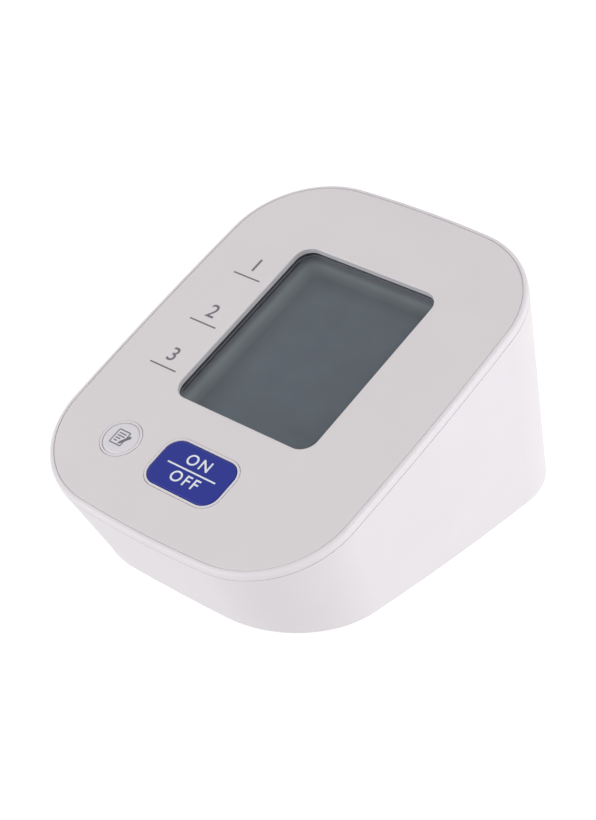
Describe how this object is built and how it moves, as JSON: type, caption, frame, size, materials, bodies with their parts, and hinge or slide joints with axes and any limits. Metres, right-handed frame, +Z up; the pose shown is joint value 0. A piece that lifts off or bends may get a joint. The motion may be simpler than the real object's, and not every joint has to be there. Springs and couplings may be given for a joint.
{
  "type": "desktop blood pressure monitor",
  "caption": "Wedge-shaped desktop monitor with a tilted display panel, a large start key, a round memory key, side air socket, and pump, valve, board and cells inside.",
  "frame": {"origin": "on the ground below the middle of the bounding box", "axes": "+Z up, +Y from the user's side to the high back, +X to the user's right"},
  "size_m": [0.103, 0.1472, 0.0804],
  "materials": {
    "case_white": "fine moulded texture, off-white",
    "faceplate_grey": "satin warm light grey",
    "key_blue": "satin deep blue",
    "key_white": "satin white",
    "lens_clear": "clear polished",
    "display_grey": "grey-green reflective display",
    "inner_white": "natural moulded plastic",
    "switch_black": "black moulded plastic",
    "stem_tan": "tan plastic",
    "board_green": "solder mask over glass laminate",
    "capacitor_sleeve": "printed sleeve over a can",
    "sensor_shell": "pale moulding",
    "steel": "plated steel",
    "motor_steel": "drawn and plated steel",
    "terminal_brass": "stamped brass",
    "coil_copper": "enamelled winding",
    "rubber_grey": "soft matt rubber",
    "hose_silicone": "translucent silicone",
    "cell_jacket": "printed jacket, plain bands",
    "wire_jacket": "coloured insulation"
  },
  "bodies": {
    "housing": {"air_jack": "inner_white", "battery_cell_1": "cell_jacket", "battery_cell_2": "cell_jacket", "battery_cell_3": "cell_jacket", "battery_cell_4": "cell_jacket", "battery_plates": "steel", "battery_springs": "steel", "board_capacitors": "capacitor_sleeve", "board_chips": "switch_black", "board_screws": "steel", "buzzer": "switch_black", "case_screws": "steel", "dc_jack": "switch_black", "dc_jack_contact": "steel", "dc_jack_pin": "steel", "faceplate": "faceplate_grey", "lcd_connector_strips": "rubber_grey", "lcd_frame": "inner_white", "lcd_glass": "display_grey", "lower_case": "case_white", "main_board": "board_green", "memory_switch": "switch_black", "motor_can": "motor_steel", "motor_end_cap": "switch_black", "motor_sleeve": "rubber_grey", "motor_terminals": "terminal_brass", "pressure_sensor": "sensor_shell", "pump_cover": "inner_white", "pump_diaphragm": "rubber_grey", "pump_hose": "hose_silicone", "pump_housing": "inner_white", "pump_screws": "steel", "pump_valve_plate": "inner_white", "rubber_foot_1": "rubber_grey", "rubber_foot_2": "rubber_grey", "rubber_foot_3": "rubber_grey", "rubber_foot_4": "rubber_grey", "sensor_hose": "hose_silicone", "start_switch": "switch_black", "upper_case": "case_white", "valve_bobbin": "inner_white", "valve_coil": "coil_copper", "valve_core": "steel", "valve_frame": "steel", "valve_hose": "hose_silicone", "valve_nozzle": "inner_white", "valve_spring": "steel", "window_lens": "lens_clear", "wire_headers": "inner_white", "wire_leads": "wire_jacket"},
    "start_key": {"start_button": "key_blue"},
    "start_stem": {"start_switch_stem": "stem_tan"},
    "memory_key": {"memory_button": "key_white"},
    "memory_stem": {"memory_switch_stem": "stem_tan"},
    "cover": {"battery_cover": "case_white"},
    "rotor": {"motor_shaft": "steel", "pump_crank": "inner_white"},
    "wobble_plate": {"pump_drive_plate": "inner_white"},
    "plunger": {"valve_plunger": "steel", "valve_seal": "rubber_grey"}
  },
  "joints": [
    {"name": "start_button_press", "type": "slide", "parent": "housing", "child": "start_key", "axis": [0, 0.3939, -0.9191], "range_m": [0, 0.0008], "stiffness_N_per_m": 1500},
    {"name": "start_stem_press", "type": "slide", "parent": "housing", "child": "start_stem", "axis": [0, 0.3939, -0.9191], "range_m": [0, 0.0008]},
    {"name": "memory_button_press", "type": "slide", "parent": "housing", "child": "memory_key", "axis": [0, 0.3939, -0.9191], "range_m": [0, 0.0008], "stiffness_N_per_m": 1500},
    {"name": "memory_stem_press", "type": "slide", "parent": "housing", "child": "memory_stem", "axis": [0, 0.3939, -0.9191], "range_m": [0, 0.0008]},
    {"name": "battery_cover_hinge", "type": "hinge", "parent": "housing", "child": "cover", "pos_m": [0, 0.05543, 0.00147], "axis": [1, 0, 0], "range_deg": [0, 60]},
    {"name": "motor_spin", "type": "hinge", "parent": "housing", "child": "rotor", "pos_m": [0.002, -0.02055, 0.0176], "axis": [-1, 0, 0], "continuous": true},
    {"name": "wobble_plate_spin", "type": "hinge", "parent": "rotor", "child": "wobble_plate", "pos_m": [-0.0126, -0.02055, 0.0176], "axis": [-0.9927, 0, 0.1203], "continuous": true, "deforming": ["pump_diaphragm"]},
    {"name": "valve_plunger_slide", "type": "slide", "parent": "housing", "child": "plunger", "axis": [-1, 0, 0], "range_m": [0, 0.00075], "stiffness_N_per_m": 300, "deforming": ["valve_spring"]}
  ],
  "couplings": [
    {"joint": "start_stem_press", "follows": "start_button_press", "ratio": 1},
    {"joint": "memory_stem_press", "follows": "memory_button_press", "ratio": 1},
    {"joint": "wobble_plate_spin", "follows": "motor_spin", "ratio": -1}
  ]
}
